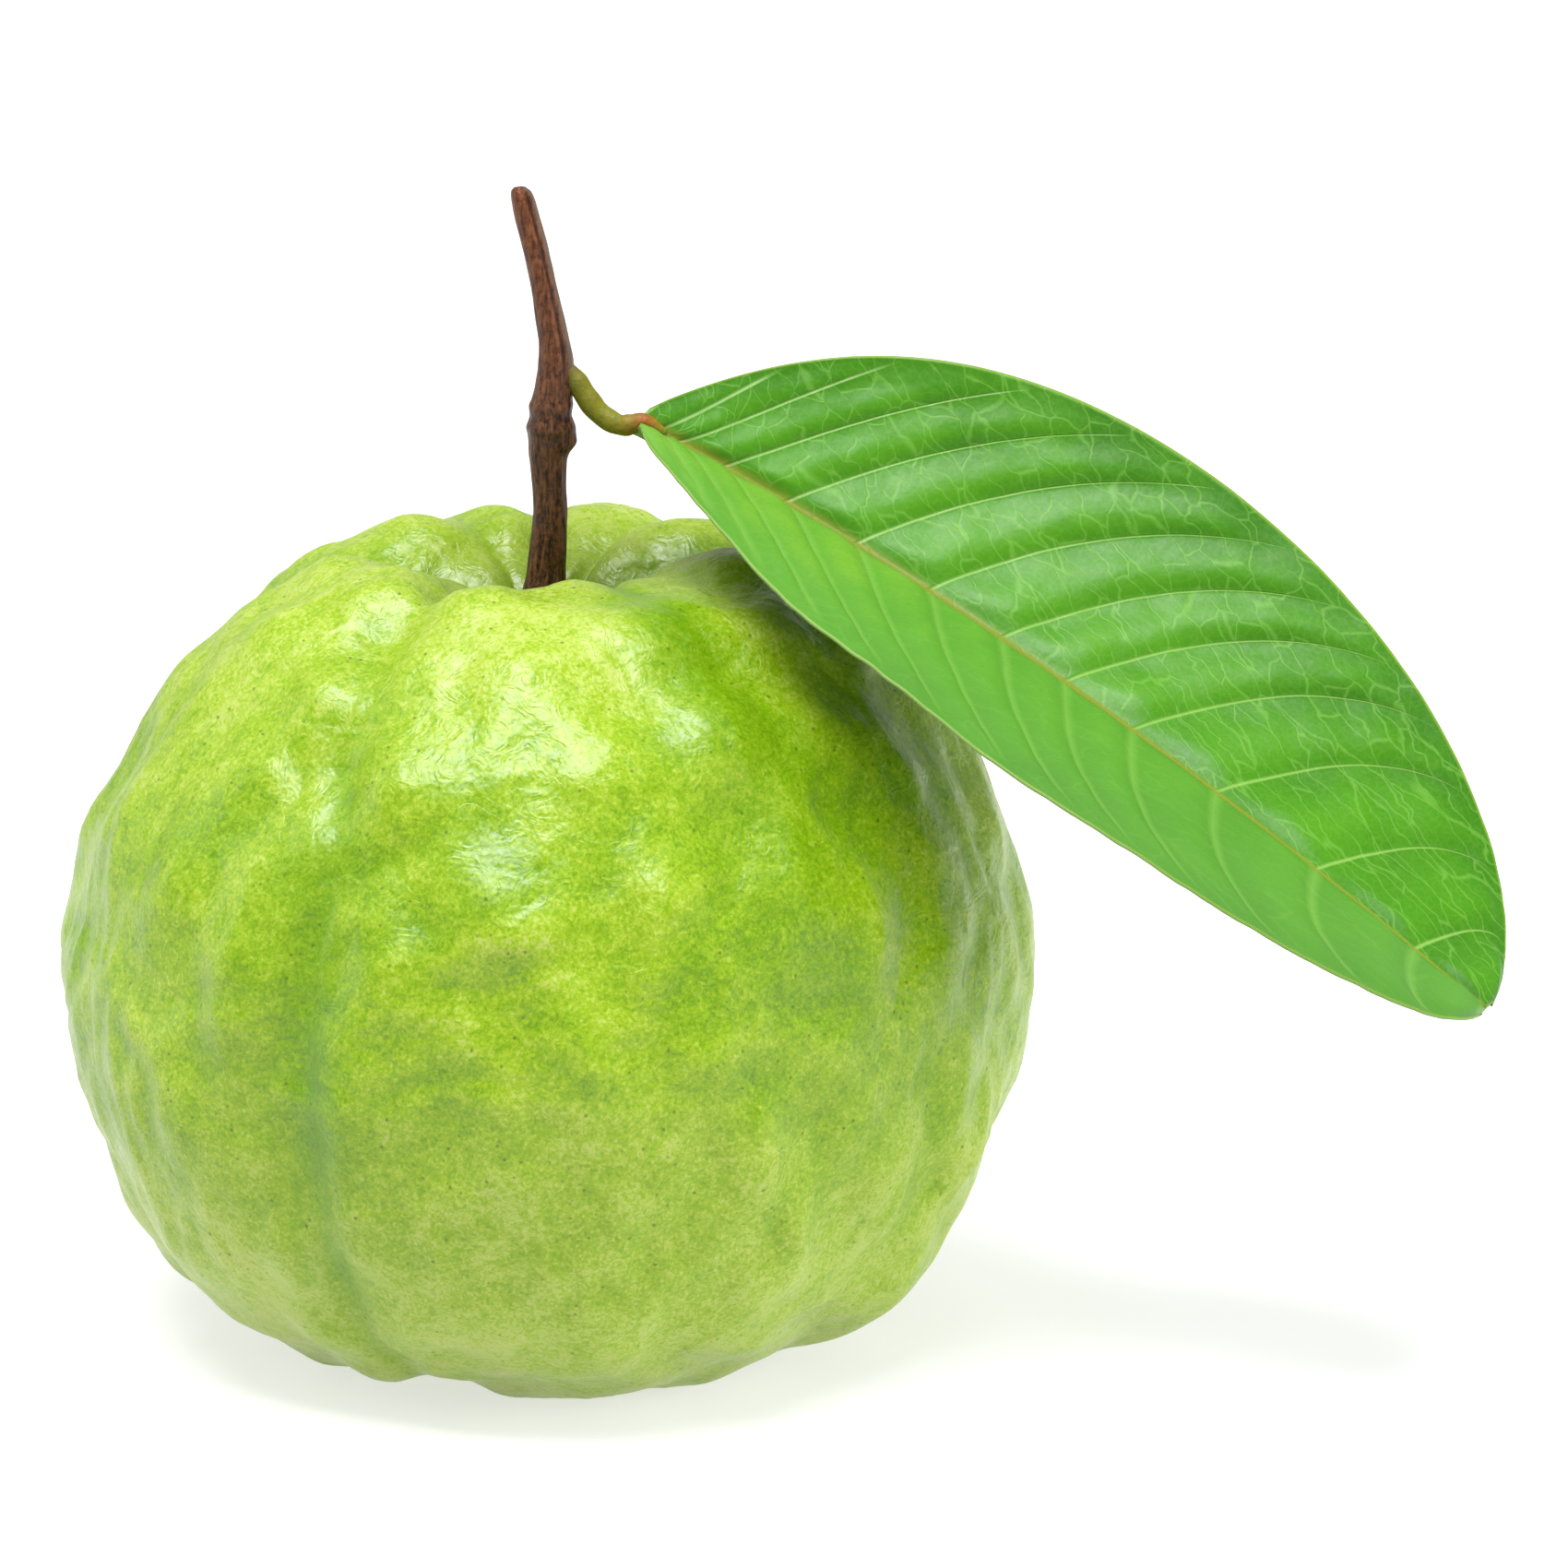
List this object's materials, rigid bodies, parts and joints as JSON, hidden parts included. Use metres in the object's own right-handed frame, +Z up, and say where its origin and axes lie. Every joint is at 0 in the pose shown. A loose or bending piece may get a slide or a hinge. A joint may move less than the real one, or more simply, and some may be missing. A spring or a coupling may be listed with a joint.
{
  "type": "guava",
  "caption": "Whole round guava with broad soft lobes round its stem pit, on an upright piece of woody twig that also carries one veined oval leaf",
  "frame": {"origin": "On the ground, at the middle of the object's bounding box in plan", "axes": "+Z up along the fruit's own axis, +X the side that the leaf hangs out to, the object's longest way, +Y away from the side that the picture shows, its shortest way"},
  "size_m": [0.1486, 0.1028, 0.1211],
  "materials": {
    "fruit_skin": "satin",
    "dried_calyx": "matte",
    "stem_bark": "matte",
    "leaf_stalk": "satin",
    "leaf_surface": "satin"
  },
  "bodies": {
    "root": {"fruit": "fruit_skin", "calyx": "dried_calyx", "stem": "stem_bark", "petiole": "leaf_stalk", "leaf_blade": "leaf_surface"}
  },
  "joints": []
}
